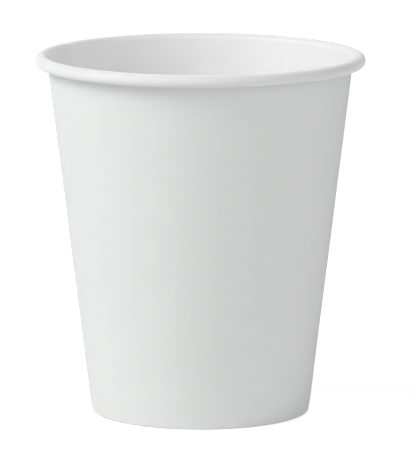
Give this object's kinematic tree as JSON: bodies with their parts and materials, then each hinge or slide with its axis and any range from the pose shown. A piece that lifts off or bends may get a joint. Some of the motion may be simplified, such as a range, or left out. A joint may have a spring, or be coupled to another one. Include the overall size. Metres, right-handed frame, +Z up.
{
  "type": "paper cup",
  "caption": "Plain white single-wall paper cup with a tapered lap-seamed wall, an outward rolled brim and a recessed bottom, for hot or cold drinks.",
  "frame": {"origin": "on the cup's axis, in the plane that the foot stands on", "axes": "+Z up the axis, out of the mouth; -Y towards the picture's viewer; the side seam is at the back left, near 155 degrees from +X"},
  "size_m": [0.08, 0.08, 0.0874],
  "materials": {
    "wall_board": "uncoated matt white outside, satin white coating inside",
    "bottom_board": "satin white coating above, uncoated matt white below"
  },
  "bodies": {
    "root": {"sidewall": "wall_board", "bottom_disc": "bottom_board"}
  },
  "joints": []
}
